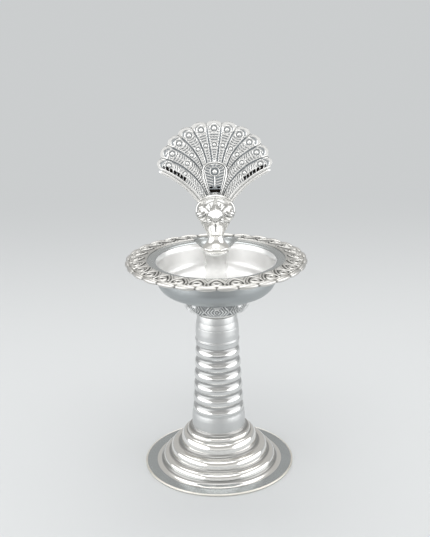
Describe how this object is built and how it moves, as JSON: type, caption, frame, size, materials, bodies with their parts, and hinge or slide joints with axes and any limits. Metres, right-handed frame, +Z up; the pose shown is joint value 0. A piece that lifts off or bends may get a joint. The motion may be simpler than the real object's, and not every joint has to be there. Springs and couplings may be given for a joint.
{
  "type": "standing oil lamp",
  "caption": "Standing oil lamp: stepped round base, ribbed pillar, open oil bowl with an ornamental border and a lift-out peacock finial with a fan tail.",
  "frame": {"origin": "centre of the base's resting ring, on the surface that the lamp stands on", "axes": "+Z up the lamp's axis, -Y towards the front that the peacock faces, +X to the viewer's right"},
  "size_m": [0.0742, 0.0742, 0.1476],
  "materials": {
    "polished_silver": "mirror-polished silver plate",
    "satin_silver": "satin silver plate",
    "cast_silver": "cast silver with darker recesses",
    "plain_steel": "plain turned steel",
    "fibre": "red-brown sealing fibre"
  },
  "bodies": {
    "stand": {"base_shell": "polished_silver", "base_edge_wire": "polished_silver", "base_washer": "plain_steel", "base_nut": "plain_steel", "tie_rod": "plain_steel", "pillar_foot_disc": "plain_steel", "pillar_tube": "polished_silver", "pillar_top_disc": "plain_steel", "pillar_top_ring": "polished_silver", "lotus_calyx": "cast_silver", "bowl_shell": "satin_silver", "rim_ornament": "cast_silver", "rim_beaded_wire": "polished_silver", "sealing_washer": "fibre", "socket_post": "polished_silver"},
    "pin": {"finial_pin": "plain_steel"},
    "finial": {"bird_foot": "polished_silver", "bird_half_left": "polished_silver", "bird_half_right": "polished_silver", "bird_neck": "polished_silver", "wing_left": "polished_silver", "wing_right": "polished_silver", "tail_fan": "cast_silver", "tail_edge_left": "polished_silver", "tail_edge_right": "polished_silver", "tail_centre_feather": "cast_silver"}
  },
  "joints": [
    {"name": "finial_turn", "type": "hinge", "parent": "stand", "child": "pin", "pos_m": [0, 0, 0.0952], "axis": [0, 0, 1], "continuous": true},
    {"name": "finial_lift", "type": "slide", "parent": "pin", "child": "finial", "axis": [0, 0, 1], "range_m": [0, 0.007]}
  ]
}
